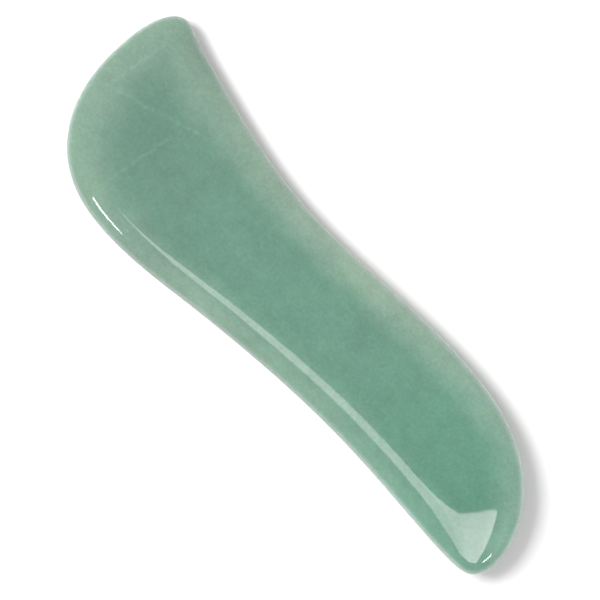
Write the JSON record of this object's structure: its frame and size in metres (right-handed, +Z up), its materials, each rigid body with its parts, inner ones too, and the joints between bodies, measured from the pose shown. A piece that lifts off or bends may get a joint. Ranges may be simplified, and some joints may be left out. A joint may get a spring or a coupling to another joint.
{
  "type": "gua sha scraper",
  "caption": "Flat S-curved scraper of polished stone for massage, with a broad round head, a hollow waist, a narrower blunt tail and rounded edges all round.",
  "frame": {"origin": "on the lower flat face, under the middle of the stone's length and width", "axes": "+X along the stone from the head to the tail, +Z up from the lower flat face, +Y towards the side of the head's corner"},
  "size_m": [0.12, 0.0382, 0.0093],
  "materials": {
    "stone": "polished"
  },
  "bodies": {
    "root": {"stone": "stone"}
  },
  "joints": []
}
